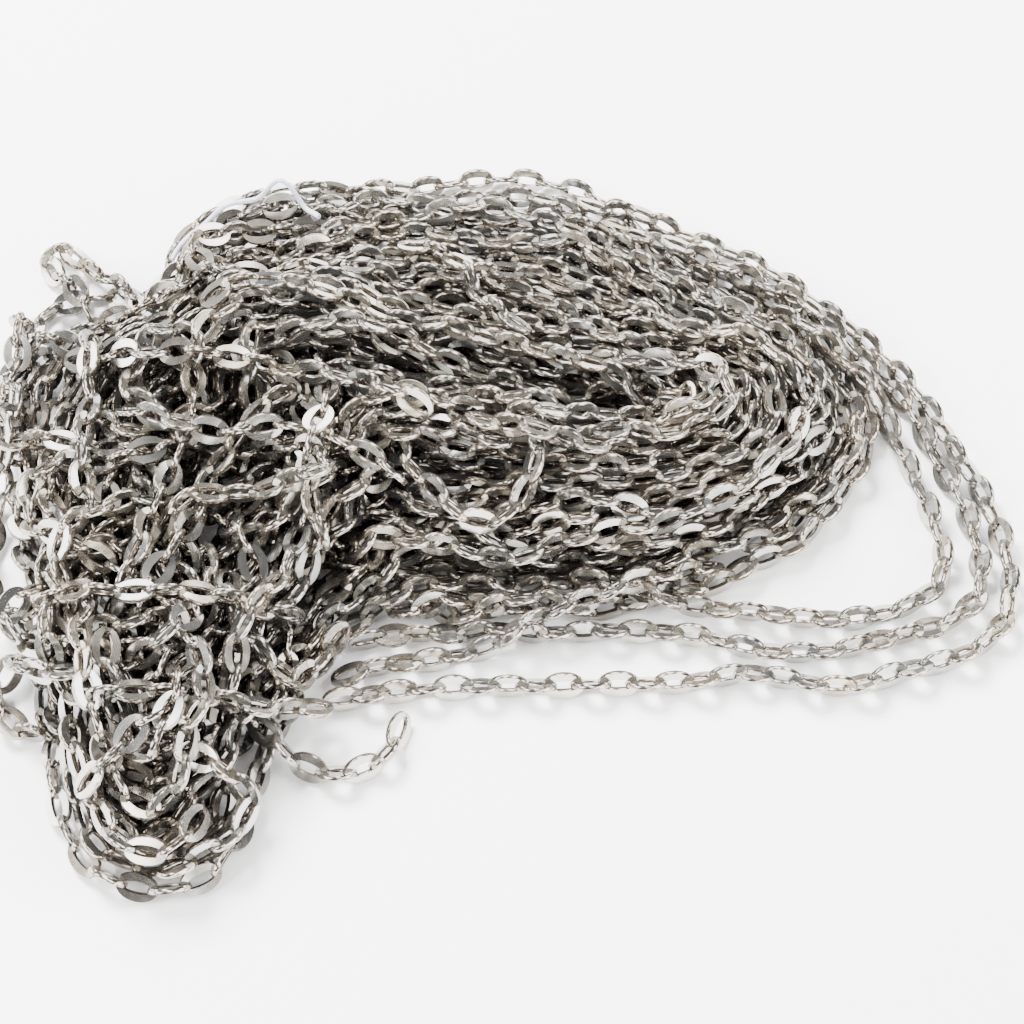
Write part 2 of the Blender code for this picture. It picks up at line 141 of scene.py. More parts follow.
# A link touches others at these places, given along its length and across it
TOUCH_ALONG = np.array([0, 0, 0.7, 0.7, -0.7, -0.7, 1.15, 1.15, -1.15, -1.15, 1.4, -1.4])
TOUCH_ACROSS = np.array([0.85, -0.85, 0.76, -0.76, 0.76, -0.76, 0.5, -0.5, 0.5, -0.5, 0, 0])
# Its rails run this far from its long axis. Touch places keep this far apart, and this far
# above the floor
RAIL_OFFSET = 0.85
TOUCH_DISTANCE = 0.58
FLOOR_DISTANCE = 0.39
# Strands keep their middle lines this far apart, by this share of the gap at each step
STRAND_DISTANCE, STRAND_PUSH = 1.5, 0.3

# The turns run round the heap between its outline and its spine, point for point
OUTLINE = [(-9.5, -9.2), (-3, -9.6), (5, -9.2), (12.5, -6.9), (21, -2.2), (27.6, 3.4),
           (29.2, 9.5), (24.5, 18), (17.5, 25.2), (10, 31), (1.5, 34), (-8, 33.8),
           (-18, 32.8), (-25.5, 30.6), (-28.4, 26.5), (-28, 22.4), (-31, 20.2), (-37, 20.6),
           (-41.4, 18), (-42.6, 8), (-41.8, -3), (-37.2, -9.8), (-33.8, -16), (-31.4, -23.8),
           (-29.2, -30), (-25.8, -34), (-22.8, -31.6), (-23, -26), (-20.4, -20.4),
           (-14.8, -14.8), (-11.8, -11)]
SPINE = [(-14, 5), (-8, 5.6), (0, 5), (6, 4), (10.5, 3.2), (13.4, 3.2), (14.6, 4.4), (13, 6),
         (8, 7.4), (2, 8.8), (-4, 10.2), (-10, 11.4), (-16, 12), (-20, 11.6),
         (-22.4, 10.6), (-24, 9.4), (-25.4, 7.6), (-26.4, 5), (-26.8, 2), (-27, -2),
         (-27, -7), (-26.8, -11), (-26.6, -14.5), (-26.4, -17), (-26.2, -19), (-26, -19.8),
         (-25.4, -18.8), (-25, -16), (-24.6, -12), (-23.6, -6), (-20, 1)]
# More turns run round the hank alone
HANK_OUTLINE = OUTLINE[:16] + [(-26.4, 14), (-22.4, 6), (-16.6, -3)]
HANK_SPINE = SPINE[:14] + [(-20.6, 11), (-20.2, 10), (-19.4, 9), (-18, 7.6), (-16.4, 6)]
TURNS_ON_FLOOR, HANK_TURNS_ON_FLOOR = 7.5, 4.0
# Each layer takes this much of the heap's rise, which narrows it, and is laid this much higher
# than the one below it
LAYER_RISE, LAYER_START, HEAP_RISE = 1.5, 1.3, 6.4
# Steps to a turn, and how far in turns go as a share of the way to the spine
TURN_STEPS, INNERMOST = 300, 0.97
# Steps from knot to knot of an outline, and places to a knot of a route, which end just short
KNOT_STEP = 0.05
ROUTE_PLACES, JUST_SHORT = 40, 1e-6
# Wound strands stray sideways by this much, by this much more where the heap is tangled, in
# waves this long, and then in a finer wave. They lift in the same way, from a first height up
STRAY, STRAY_TANGLED, STRAY_LENGTH = 0.8, 1.7, 10
FINE_STRAY, FINE_STRAY_LENGTH = 0.3, 4.5
LIFT, LIFT_TANGLED, LIFT_LENGTH = 0.7, 1.2, 8
FIRST_HEIGHT, LOWEST = 1, 0.8

# Where the heap is tangled: patches with a middle, a reach and how tangled they are, and the
# left lobe, how tangled it is, from which x on and over which width
TANGLED_PATCHES = [((-14, 4), (11, 9), 1), ((-16, 24), (9, 7), 0.5)]
LOBE_TANGLED, LOBE_FROM, LOBE_WIDTH = 0.85, -15, 3
# Tangled lengths: a middle, a reach, the length, and the heights that they climb from and to
TANGLES = {"middle_tangle": ((-14, 8), (12, 8), 420, 1, 7),
           "left_tangle": ((-28.5, -3), (6.6, 15), 400, 5, 7.5)}
# They turn at random by this much a link, in waves this long, and lift by this much. Past this
# share of their reach they turn home, by so much a link at most and the faster the further out
# they are. None goes further left than the edge
WANDER, WANDER_LENGTH, WANDER_LIFT = 0.33, 7, 0.5
HOME_FROM, HOME_TURN, HOME_PULL = 0.8, 0.5, 2.5
LEFT_EDGE = -40.5

# A strand laid over others keeps this far above the highest within this reach, or this far above
# the floor, smoothed over this many places. Where it lies above DIVE_FROM, its ends dive by this
# much over this length
LAY_CLEARANCE, LAY_REACH, LAY_FLOOR, LAY_SMOOTHING = 1.35, 1.5, 0.9, 5
DIVE, DIVE_LENGTH, DIVE_FROM = 2.0, 5, 2.5

# Depth in the heap: seen from above and from these sides at these heights, in degrees, and
# measured in cells this wide, where the third lowest cover of nine cells counts; and from how
# deep a link can't be seen
LOOK_TURNS, LOOK_RISES = range(0, 360, 45), (20, 50)
COVER_CELL, COVER_RANK, HIDDEN_FROM = 1.4, 2, 3.0
# Painted shade darkens steel between these depths under the heap's own smoothed surface, which is
# measured in cells this wide, smoothed over this many of them to either side, with this many
# empty ones round it
SHADE_FROM, SHADE_FULL = 0.6, 2.8
SHADE_CELL, SHADE_REACH, SHADE_MARGIN = 0.5, 3, 10


def knots_to_curve(knots, places, closed=False):
    """Points on a smooth curve through the knots, at places counted in knots."""
    knots = np.array(knots, float)
    if not closed:
        knots = np.vstack([2 * knots[0] - knots[1], knots, 2 * knots[-1] - knots[-2]])
        places = places + 1
    count = len(knots)
    base = places.astype(int)
    part = (places - base)[:, None]
    a, b, c, d = (knots[(base + k) % count] for k in (-1, 0, 1, 2))
    return 0.5 * (2 * b + (c - a) * part + (2 * a - 5 * b + 4 * c - d) * part ** 2
                  + (3 * b - a - 3 * c + d) * part ** 3)


def evenly(points, step):
    """The same path with points at equal steps along it, and how far along each one lies."""
    lengths = np.linalg.norm(np.diff(points[:, :2], axis=0), axis=1)
    along = np.concatenate([[0], np.cumsum(lengths)])
    stations = np.arange(0, along[-1], step)
    columns = [np.interp(stations, along, points[:, k]) for k in range(points.shape[1])]
    return np.stack(columns, axis=1), stations


def smooth_route(route, step):
    """An open route through given points, at equal steps."""
    places = np.linspace(0, len(route) - 1 - JUST_SHORT, ROUTE_PLACES * len(route))
    return evenly(knots_to_curve(route, places), step)[0]


def wave(draw, along, length):
    """A smooth random curve of about unit size along a strand."""
    values = draw.normal(size=int(along[-1] / length) + 4)
    place = along / length
    base = place.astype(int)
    part = place - base
    ease = part * part * (3 - 2 * part)
    return values[base] * (1 - ease) + values[base + 1] * ease


def unit(vectors):
    """The same vectors at unit length."""
    return vectors / np.linalg.norm(vectors, axis=1, keepdims=True)


def sideways(plan):
    """Unit vectors to the left of a path, in the plan."""
    heading = unit(np.gradient(plan[:, :2], axis=0))
    return np.stack([-heading[:, 1], heading[:, 0]], axis=1)


def tangle_at(x, y):
    """How tangled the heap is: most in its middle, much on the left, little on the right."""
    patches = [most * np.exp(-(((x - middle[0]) / reach[0]) ** 2
                               + ((y - middle[1]) / reach[1]) ** 2))
               for middle, reach, most in TANGLED_PATCHES]
    lobe = LOBE_TANGLED / (1 + np.exp((x - LOBE_FROM) / LOBE_WIDTH))
    return np.clip(np.max([*patches, lobe], axis=0), 0, 1)


def wound_turns(draw, outline, spine, turns_on_floor):
    """A wound part of the chain: in and out between outline and spine, layer on layer."""
    outline = knots_to_curve(outline, np.arange(0, len(outline), KNOT_STEP), closed=True)
    spine = knots_to_curve(spine, np.arange(0, len(spine), KNOT_STEP), closed=True)
    turns, shares, levels = [], [], []
    start, level, inward = 0.0, 0, True
    while level * LAYER_RISE < HEAP_RISE:
        rim = math.asin(level * LAYER_RISE / HEAP_RISE) / (math.pi / 2)
        count = max(1, round((1 - rim) * turns_on_floor))
        part = np.arange(count * TURN_STEPS) / (count * TURN_STEPS)
        turns.append(start + part * count)
        shares.append(rim + (INNERMOST - rim) * (part if inward else 1 - part))
        levels.append(np.full(len(part), float(level)))
        start, level, inward = start + count, level + 1, not inward
    turn, share, level = (np.concatenate(values) for values in (turns, shares, levels))
    place = ((turn % 1) * len(outline)).astype(int) % len(outline)
    plan = outline[place] * (1 - share[:, None]) + spine[place] * share[:, None]
    path, along = evenly(np.column_stack([plan, level]), PITCH)
    tangle = tangle_at(path[:, 0], path[:, 1])
    stray = ((STRAY + STRAY_TANGLED * tangle) * wave(draw, along, STRAY_LENGTH)
             + FINE_STRAY * wave(draw, along, FINE_STRAY_LENGTH))
    path[:, :2] += sideways(path) * stray[:, None]
    lift = (LIFT + LIFT_TANGLED * tangle) * wave(draw, along, LIFT_LENGTH)
    path[:, 2] = np.maximum(FIRST_HEIGHT + path[:, 2] * LAYER_START + lift, LOWEST)
    return path


def wandering(draw, middle, reach, length, low, high):
    """A tangled length that wanders within an oval and climbs from low to high."""
    count = int(length / PITCH)
    turning = WANDER * wave(draw, np.arange(count) * PITCH, WANDER_LENGTH)
    place, heading = np.array(middle, float), draw.uniform(0, 2 * math.pi)
    path = []
    for k in range(count):
        offset = (np.array(middle) - place) / np.array(reach)
        beyond = math.hypot(*offset)
        heading += turning[k]
        if beyond > HOME_FROM:
            home = math.atan2(offset[1] * reach[1], offset[0] * reach[0])
            away = (home - heading + math.pi) % (2 * math.pi) - math.pi
            pull = min(1, (beyond - HOME_FROM) * HOME_PULL)
            heading += max(-HOME_TURN, min(HOME_TURN, away)) * pull
        place = place + PITCH * np.array([math.cos(heading), math.sin(heading)])
        path.append((*place, low + (high - low) * k / count))
    path = np.array(path)
    path[:, 0] = np.maximum(path[:, 0], LEFT_EDGE)
    path[:, 2] += WANDER_LIFT * wave(draw, np.arange(count) * PITCH, LIFT_LENGTH)
    path[:, 2] = np.maximum(path[:, 2], LOWEST)
    return path


def lay_on(plan, below):
    """Lay a strand on the places below it; its ends dive in among them."""
    height = np.full(len(plan), LAY_FLOOR)
    for k, point in enumerate(plan):
        near = np.hypot(below[:, 0] - point[0], below[:, 1] - point[1]) < LAY_REACH
        if near.any():
            height[k] = below[near, 2].max() + LAY_CLEARANCE
    padded = np.pad(height, LAY_SMOOTHING // 2, mode="edge")
    height = sum(padded[k:k + len(height)] for k in range(LAY_SMOOTHING)) / LAY_SMOOTHING
    end = np.minimum(np.arange(len(plan)), np.arange(len(plan))[::-1]) * PITCH
    sunk = DIVE * np.clip(1 - end / DIVE_LENGTH, 0, 1)
    height = np.maximum(height - np.where(height > DIVE_FROM, sunk, 0), LAY_FLOOR)
    return np.column_stack([plan[:, :2], height])


def touching(places, owner, reach):
    """Pairs of places nearer than a reach, whose owners aren't the same or neighbours."""
    cell = np.floor(places / reach).astype(np.int64)
    cell -= cell.min(axis=0) - 1
    size = cell.max(axis=0) + 2
    key = (cell[:, 0] * size[1] + cell[:, 1]) * size[2] + cell[:, 2]
    rank = np.argsort(key, kind="stable")
    key = key[rank]
    first, second = [], []
    for step in np.ndindex(3, 3, 3):
        i, j, k = (value - 1 for value in step)
        if (i, j, k) < (0, 0, 0):
            continue
        other = key + (i * size[1] + j) * size[2] + k
        low = np.searchsorted(key, other, "left")
        count = np.searchsorted(key, other, "right") - low
        a = np.repeat(np.arange(len(places)), count)
        b = np.arange(len(a)) + np.repeat(low - np.cumsum(count) + count, count)
        if (i, j, k) == (0, 0, 0):
            a, b = a[a < b], b[a < b]
        a, b = rank[a], rank[b]
        apart = np.abs(owner[a] - owner[b]) > 1
        a, b = a[apart], b[apart]
        gap = places[a] - places[b]
        near = np.einsum("ij,ij->i", gap, gap) < reach * reach
        first.append(a[near])
        second.append(b[near])
    return np.concatenate(first), np.concatenate(second)


def square_up(sides, axes):
    """Turn each side vector square to its link's axis, at unit length."""
    sides -= np.einsum("ij,ij->i", sides, axes)[:, None] * axes
    sides /= np.linalg.norm(sides, axis=1, keepdims=True)


def first_sides(axes, middles, order, draw):
    """Sides of the links before they settle, turned one way and the other by turns."""
    front = np.tile(FRONT, (len(axes), 1))
    square_up(front, axes)
    along = np.arange(len(axes)) * PITCH
    sway = ROLL_SWAY + ROLL_TANGLED * tangle_at(middles[:, 0], middles[:, 1])
    sway *= wave(draw, along, ROLL_LENGTH)
    roll = ROLL * (1 - 2 * (order % 2)) + sway + draw.normal(0, ROLL_JITTER, len(axes))
    return front * np.cos(roll)[:, None] + np.cross(axes, front) * np.sin(roll)[:, None]


def touch_places(middles, axes, sides):
    """The places at which links touch others, link after link."""
    return (middles[:, None] + TOUCH_ALONG[None, :, None] * axes[:, None]
            + TOUCH_ACROSS[None, :, None] * sides[:, None]).reshape(-1, 3)


def shared_out(first, second, moves, count):
    """Each pair's move, summed up for the first of the pair and against it for the second."""
    return np.stack([np.bincount(first, moves[:, k], count)
                     - np.bincount(second, moves[:, k], count) for k in range(3)], axis=1)


def settle(strands, holds, draw):
    """Settle all strands together. Returns each link's middle, axis, side and strand."""
    joints = np.vstack(strands)
    sizes = np.array([len(strand) for strand in strands])
    starts = np.concatenate([[0], np.cumsum(sizes)[:-1]])
    strand = np.repeat(np.arange(len(strands)), sizes)
    near = np.nonzero(strand[:-1] == strand[1:])[0]
    far = near + 1
    # Labels run on within a strand and skip between strands, so that only neighbours follow on
    label = near + 3 * strand[near]
    follow = np.nonzero(np.diff(label) == 1)[0]
    bends = np.nonzero(strand[:-2] == strand[2:])[0]
    hold = np.repeat(holds, sizes)[:, None]
    home = joints[:, :2].copy()
    axes = unit(joints[far] - joints[near])
    sides = first_sides(axes, joints[near], near - starts[strand[near]], draw)
    rolled = sides.copy()
    to_near, to_far = 0.5 - TOUCH_ALONG / PITCH, 0.5 + TOUCH_ALONG / PITCH
    to_side = TOUCH_ACROSS / RAIL_OFFSET
    weight = to_near ** 2 + to_far ** 2 + to_side ** 2 / 2
    to_near, to_far, to_side = to_near / weight, to_far / weight, to_side / weight
    owner = np.repeat(label, len(TOUCH_ALONG))
    line_owner = np.concatenate([2 * np.arange(len(joints)) + 6 * strand,
                                 2 * near + 1 + 6 * strand[near]])
    odd = near % 2 == 1
    for step in range(2 * SETTLE_ROUNDS):
        if step % 2 == 0:
            if step < SINK_UNTIL * SETTLE_ROUNDS:
                joints[:, 2] -= SINK
            joints[:, :2] += hold * (home - joints[:, :2])
        axes = unit(joints[far] - joints[near])
        sides += ROLL_HOLD * (rolled - sides)
        square_up(sides, axes)
        # Neighbours that lean too far from a quarter turn to each other turn back
        lean = np.einsum("ij,ij->i", sides[follow], sides[follow + 1])
        lean = QUARTER_PUSH * np.sign(lean) * np.maximum(np.abs(lean) - QUARTER_PLAY, 0)
        one, two = sides[follow].copy(), sides[follow + 1].copy()
        sides[follow] -= lean[:, None] * two
        sides[follow + 1] -= lean[:, None] * one
        middles = (joints[near] + joints[far]) / 2
        places = touch_places(middles, axes, sides)
        line = np.vstack([joints, middles])
        if step % PAIRS_EVERY == 0:
            first, second = touching(places, owner, TOUCH_DISTANCE + PAIRS_MARGIN)
            beside, besides = touching(line, line_owner, STRAND_DISTANCE + PAIRS_MARGIN)
        # Middle lines of strands keep apart
        gap = line[besides] - line[beside]
        distance = np.linalg.norm(gap, axis=1) + TINY
        apart = gap * (STRAND_PUSH * np.minimum(distance - STRAND_DISTANCE, 0)
                       / distance)[:, None]
        shift = shared_out(beside, besides, apart, len(line))
        pushed = np.bincount(beside, distance < STRAND_DISTANCE, len(line))
        pushed += np.bincount(besides, distance < STRAND_DISTANCE, len(line))
        shift /= np.maximum(pushed, 1)[:, None]
        joints += shift[:len(joints)]
        joints[near] += shift[len(joints):]
        joints[far] += shift[len(joints):]
        # Links push each other apart where they touch, and stay above the floor
        gap = places[second] - places[first]
        distance = np.sqrt(np.einsum("ij,ij->i", gap, gap)) + TINY
        close = distance < TOUCH_DISTANCE
        distance = distance[close]
        push = gap[close] * (0.5 * (distance - TOUCH_DISTANCE) / distance)[:, None]
        moves = shared_out(first[close], second[close], push, len(places))
        moves[:, 2] += np.maximum(FLOOR_DISTANCE - places[:, 2], 0)
        moves = moves.reshape(len(near), -1, 3)
        touched = (np.abs(moves).sum(axis=2) > 0).sum(axis=1)
        ease = (LINK_EASE / np.maximum(touched, 2))[:, None]
        joints[near] += np.einsum("k,nkj->nj", to_near, moves) * ease
        joints[far] += np.einsum("k,nkj->nj", to_far, moves) * ease
        sides += np.einsum("k,nkj->nj", to_side, moves) * ease / RAIL_OFFSET
        # Each link keeps its pitch, and no strand bends too sharply
        for part in (odd, ~odd):
            i, j = near[part], far[part]
            gap = joints[j] - joints[i]
            length = np.linalg.norm(gap, axis=1)
            wanted = np.clip(length, PITCH_LOW, PITCH_HIGH)
            move = gap * (0.5 * (length - wanted) / length)[:, None]
            joints[i] += move
            joints[j] -= move
        gap = joints[bends + 2] - joints[bends]
        length = np.linalg.norm(gap, axis=1) + TINY
        short = np.minimum(length - 2 * PITCH * BEND_LIMIT, 0)
        move = gap * (BEND_PUSH * short / length)[:, None]
        joints += shared_out(bends, bends + 2, move, len(joints))
    axes = unit(joints[far] - joints[near])
    square_up(sides, axes)
    middles = (joints[near] + joints[far]) / 2
    lowest = (middles[:, None, 2] + TOUCH_ALONG * axes[:, None, 2]
              + TOUCH_ACROSS * sides[:, None, 2]).min(axis=1)
    middles[:, 2] += np.maximum(FLOOR_DISTANCE - lowest, 0)
    return middles, axes, sides, strand[near]


# Strands that lie over the heap, from the lowest to the highest
OVER_ROUTES = {
    "hank_fill_1": [(-17, 9.6), (-11, 9.4), (-5, 8.6), (1, 7.2), (7, 5.4), (12.4, 4)],
    "hank_fill_2": [(-20, 12.4), (-13, 11.6), (-6, 10), (0, 9), (6, 7.4), (13, 5.4), (17, 6.6)],
    "left_rim_1": [(-34.2, -13), (-32.2, -20), (-30, -27), (-27, -31.2), (-23.8, -30.4),
                   (-22.6, -26)],
    "left_rim_2": [(-32.4, -11), (-30.8, -19), (-28.6, -26), (-26, -28.8), (-23.8, -26.6),
                   (-22.8, -21)],
    "left_rim_3": [(-29.6, -16), (-28.2, -22.6), (-26.2, -25.6), (-24.4, -22.6), (-23, -17)],
    "hank_run_1": [(-25, 14), (-18, 14.6), (-10, 13.4), (-2, 11.8), (5, 10), (10.6, 7.6),
                   (14.6, 4.4)],
    "hank_run_2": [(-21, 11.4), (-15.4, 11.8), (-9, 11), (-2.4, 9.4), (4.4, 8), (9.4, 5.6)],
    "hank_run_3": [(-17.6, 8.8), (-13, 9), (-8, 8.4), (-2.6, 7.4), (3.6, 5.6), (8.4, 3.6)],
    "hank_run_4": [(-14, 6.4), (-10.6, 6.6), (-7, 6.2), (-3, 5.4), (0, 4.6), (3, 3.6), (6.6, 2.4)],
    "joint_strand_1": [(-36, 10.4), (-30, 9), (-24, 8.8), (-18, 7), (-12, 5.4), (-6, 3.2)],
    "joint_strand_2": [(-31, 3.4), (-25, 2), (-19, 2.4), (-13.4, 0.4), (-8, -2.4)],
    "joint_strand_3": [(-15.4, 9), (-14, 3), (-15.4, -3), (-14.4, -9)],
    "hank_across_1": [(-9.4, 22.6), (-4, 20), (-2.2, 15.4), (2.4, 11.6)],
    "hank_across_2": [(8, 16.6), (14, 13), (19.4, 11.6), (23.4, 8)],
    "hank_across_3": [(-3.4, 2.6), (2, 1), (7.6, 0.8), (13, 2.6)],
    "hank_end_loop": [(-16, 25.6), (-22, 25), (-26.4, 22.6), (-25.4, 18.4), (-20.6, 17.6)],
    "left_long_run": [(-34, 12.5), (-33.2, 6), (-33.6, 0), (-32.2, -6)],
    "left_across_upper": [(-41.4, -10.4), (-37.8, -12.2), (-33.3, -13), (-26.7, -13.4),
                          (-20, -13.4), (-15.6, -12.6)],
    "left_across_lower": [(-32.6, -19.6), (-26.1, -20.6), (-20.3, -20.8), (-15.7, -19.6),
                          (-12.4, -18.4)],
    "left_vee": [(-22.4, -9.6), (-20.4, -13.4), (-16.8, -18), (-14.6, -15), (-12.8, -10.8)],
    "left_diagonal": [(-31, -27.6), (-27.7, -25.2), (-23.4, -21.2)],
}

# Loose strands beside the heap
LOOSE_ROUTES = {
    "outer_strand": [(6, 29.4), (12, 28.6), (17, 26.6), (21.2, 24.2), (26, 20), (31.2, 14.4),
                     (34, 10), (36.2, 5), (38.2, 0), (39.2, -5.2), (38.3, -10.6),
                     (34.8, -13.6), (30, -15), (25.4, -16.4), (21.4, -15.8), (17.6, -15.2),
                     (13.5, -16), (8, -16.1), (2, -16.3), (-4, -16.4), (-9, -16.8),
                     (-14, -17.6)],
    "middle_strand": [(13, 24.4), (18, 22.6), (22.6, 20.4), (26.6, 17.2), (30, 13.4), (33, 9),
                      (34.6, 4.4), (36.2, 0), (37, -4.4), (36.4, -8.6), (33.4, -11),
                      (29.6, -12), (25.6, -13.1), (21.6, -13.5), (18, -13), (14.6, -12),
                      (10.4, -11.6), (6.4, -11.6), (1.8, -11.7), (-2.6, -11.5), (-8, -11.8),
                      (-13, -12.6)],
    "inner_strand": [(20, 18.4), (24.4, 15.8), (27.8, 12.6), (30.2, 9.4), (31.7, 5.4),
                     (33, 1.2), (34, -3), (33.8, -6.8), (31, -9.3), (27, -10.4), (23, -10.5),
                     (19, -9.9), (14.6, -9.4), (9.6, -8.4), (4.6, -7.6)],
    "front_strand": [(-13.4, -15.4), (-8.8, -14.4), (-5, -13.9), (-1.6, -12.9), (1.6, -11.4),
                     (5, -10), (9.4, -8.6), (13.6, -6.9), (18, -4.4)],
    "front_tail": [(-20.6, -18.4), (-18.6, -20.8), (-15.6, -23), (-12.2, -23.6), (-9.6, -22.2),
                   (-8.4, -19.8), (-8, -18.2)],
    "left_hairpin": [(-25, -32), (-21.6, -30.4), (-19.2, -27.6), (-19, -25.8), (-21, -25.2),
                     (-24, -24)],
    "left_loop": [(-34, -13.6), (-36.2, -14.2), (-38.2, -14.9), (-39, -16.9), (-38, -19.4),
                  (-35.8, -20.2), (-33.4, -19.6)],
    "back_corner_loop": [(-34.6, 16), (-36.2, 19.4), (-38, 22), (-40, 24.4), (-39.6, 25.8),
                         (-37.6, 24.8), (-35.4, 23), (-33, 20.8), (-31.4, 18.2), (-30.4, 15)],
}


def to_part(points):
    """Points of the plans, in the part's own frame and in metres."""
    points = np.atleast_2d(np.array(points, float))
    return (points - (*MIDDLE, 0)) * MM


def link_mesh(name, steps):
    """One oval link with its length along Z and its flats facing along X."""
    body = bmesh.new()
    rings = []
    half_length, half_width = (LINK_LENGTH - END_WIRE) / 2, (LINK_WIDTH - RAIL_WIDTH) / 2
    for k in range(steps):
        angle = 2 * math.pi * k / steps
        rail = abs(math.sin(angle)) ** RAIL_POWER
        width = (END_WIRE + (RAIL_WIDTH - END_WIRE) * rail) / 2
        thick = (END_WIRE + (RAIL_THICKNESS - END_WIRE) * rail) / 2
        edge = END_EDGE + (RAIL_EDGE - END_EDGE) * rail
        centre = Vector((0, half_width * math.sin(angle), half_length * math.cos(angle)))
        out = Vector((0, half_length * math.sin(angle), half_width * math.cos(angle))).normalized()
        section = [(edge - width, thick), (width - edge, thick), (width, 0),
                   (width - edge, -thick), (edge - width, -thick), (-width, 0)]
        rings.append([body.verts.new((centre + out * u + Vector((w, 0, 0))) * MM)
                      for u, w in section])
    for k in range(steps):
        near, far = rings[k], rings[(k + 1) % steps]
        for c in range(len(near)):
            after = (c + 1) % len(near)
            body.faces.new((near[c], far[c], far[after], near[after]))
    bmesh.ops.recalc_face_normals(body, faces=body.faces)
    mesh = bpy.data.meshes.new(name)
    body.to_mesh(mesh)
    body.free()
    pressed = mesh.attributes.new("pressed", "BOOLEAN", "FACE")
    for face in mesh.polygons:
        pressed.data[face.index].value = (abs(face.normal.x) > PRESSED_LEVEL
                                          and abs(face.center.y) > PRESSED_FROM * MM)
    mesh.shade_smooth()
    mesh.set_sharp_from_angle(angle=SHARP)
    return mesh


def noise(nodes, wire, vector, scale, detail=2.0, roughness=0.5):
    """The value of a noise at the coordinates given."""
    node = nodes.new("ShaderNodeTexNoise")
    for label, value in (("Scale", scale), ("Detail", detail), ("Roughness", roughness)):
        node.inputs[label].default_value = value
    wire(vector, node.inputs["Vector"])
    return node.outputs["Fac"]


def map_range(nodes, wire, value, to, start=(0.0, 1.0)):
    """A value mapped from one range to another."""
    node = nodes.new("ShaderNodeMapRange")
    for label, limit in zip(("From Min", "From Max", "To Min", "To Max"), (*start, *to)):
        node.inputs[label].default_value = limit
    wire(value, node.inputs["Value"])
    return node.outputs["Result"]


def mix_colours(nodes, wire, factor, first, second, blend="MIX"):
    """Two colours mixed. Each input is a plain value or another node's output."""
    node = nodes.new("ShaderNodeMix")
    node.data_type, node.blend_type = "RGBA", blend
    for label, given in (("Factor", factor), ("A", first), ("B", second)):
        if isinstance(given, bpy.types.NodeSocket):
            wire(given, node.inputs[label])
        else:
            node.inputs[label].default_value = given
    return node.outputs["Result"]


def mesh_value(nodes, name):
    """The value of one of the mesh's own attributes."""
    node = nodes.new("ShaderNodeAttribute")
    node.attribute_name = name
    return node.outputs["Fac"]


def new_material(name):
    """A material, its nodes, the function that wires them and its shader."""
    material = bpy.data.materials.new(name)
    material.use_nodes = True
    nodes = material.node_tree.nodes
    return material, nodes, material.node_tree.links.new, nodes["Principled BSDF"]


def clouded_material(name, clouds, colours, roughness):
    """A material whose colour and roughness drift in soft clouds, and its shader."""
    material, nodes, wire, shader = new_material(name)
    place = nodes.new("ShaderNodeTexCoord")
    cloud = noise(nodes, wire, place.outputs["Object"], clouds)
    wire(mix_colours(nodes, wire, cloud, *colours), shader.inputs["Base Color"])
    wire(map_range(nodes, wire, cloud, roughness), shader.inputs["Roughness"])
    return material, shader


def steel_marks_and_shade_group():
    """Fine steel details and painted shade: a link's own tone, painted shade deep inside the heap,
    stains, hairlines.
    """
    group = bpy.data.node_groups.new("steel_marks_and_painted_shade", "ShaderNodeTree")
    face = group.interface
    for name, kind in (("Warm", "Color"), ("Cool", "Color"), ("Smooth", "Float"),
                       ("Worn", "Float"), ("Hairline Depth", "Float")):
        face.new_socket(name, in_out="INPUT", socket_type=f"NodeSocket{kind}")
    for name, kind in (("Color", "Color"), ("Roughness", "Float"), ("Normal", "Vector")):
        face.new_socket(name, in_out="OUTPUT", socket_type=f"NodeSocket{kind}")
    nodes, wire = group.nodes, group.links.new
    enter, leave = nodes.new("NodeGroupInput"), nodes.new("NodeGroupOutput")
    place = nodes.new("ShaderNodeTexCoord")
    colour = mix_colours(nodes, wire, mesh_value(nodes, "tone"), enter.outputs["Warm"],
                         enter.outputs["Cool"])
    stain = noise(nodes, wire, place.outputs["Object"], STAIN_SCALE, detail=3)
    stained = map_range(nodes, wire, stain, (STAIN_TONE, 1.0), STAIN_RANGE)
    colour = mix_colours(nodes, wire, 1, colour, stained, "MULTIPLY")
    # Painted shade: steel deep under the heap's surface is painted darker
    painted_shade = map_range(nodes, wire, mesh_value(nodes, "shade"), (1.0, PAINTED_SHADE_TONE))
    colour = mix_colours(nodes, wire, 1, colour, painted_shade, "MULTIPLY")
    wire(colour, leave.inputs["Color"])
    rough = nodes.new("ShaderNodeMix")
    wire(stain, rough.inputs["Factor"])
    wire(enter.outputs["Smooth"], rough.inputs["A"])
    wire(enter.outputs["Worn"], rough.inputs["B"])
    wire(rough.outputs["Result"], leave.inputs["Roughness"])
    stretch = nodes.new("ShaderNodeMapping")
    stretch.inputs["Scale"].default_value = HAIRLINE_STRETCH
    wire(place.outputs["Object"], stretch.inputs["Vector"])
    hairline = noise(nodes, wire, stretch.outputs["Vector"], HAIRLINE_SCALE)
    bump = nodes.new("ShaderNodeBump")
    bump.inputs["Distance"].default_value = HAIRLINE_HEIGHT
    wire(enter.outputs["Hairline Depth"], bump.inputs["Strength"])
    wire(hairline, bump.inputs["Height"])
    wire(bump.outputs["Normal"], leave.inputs["Normal"])
    return group


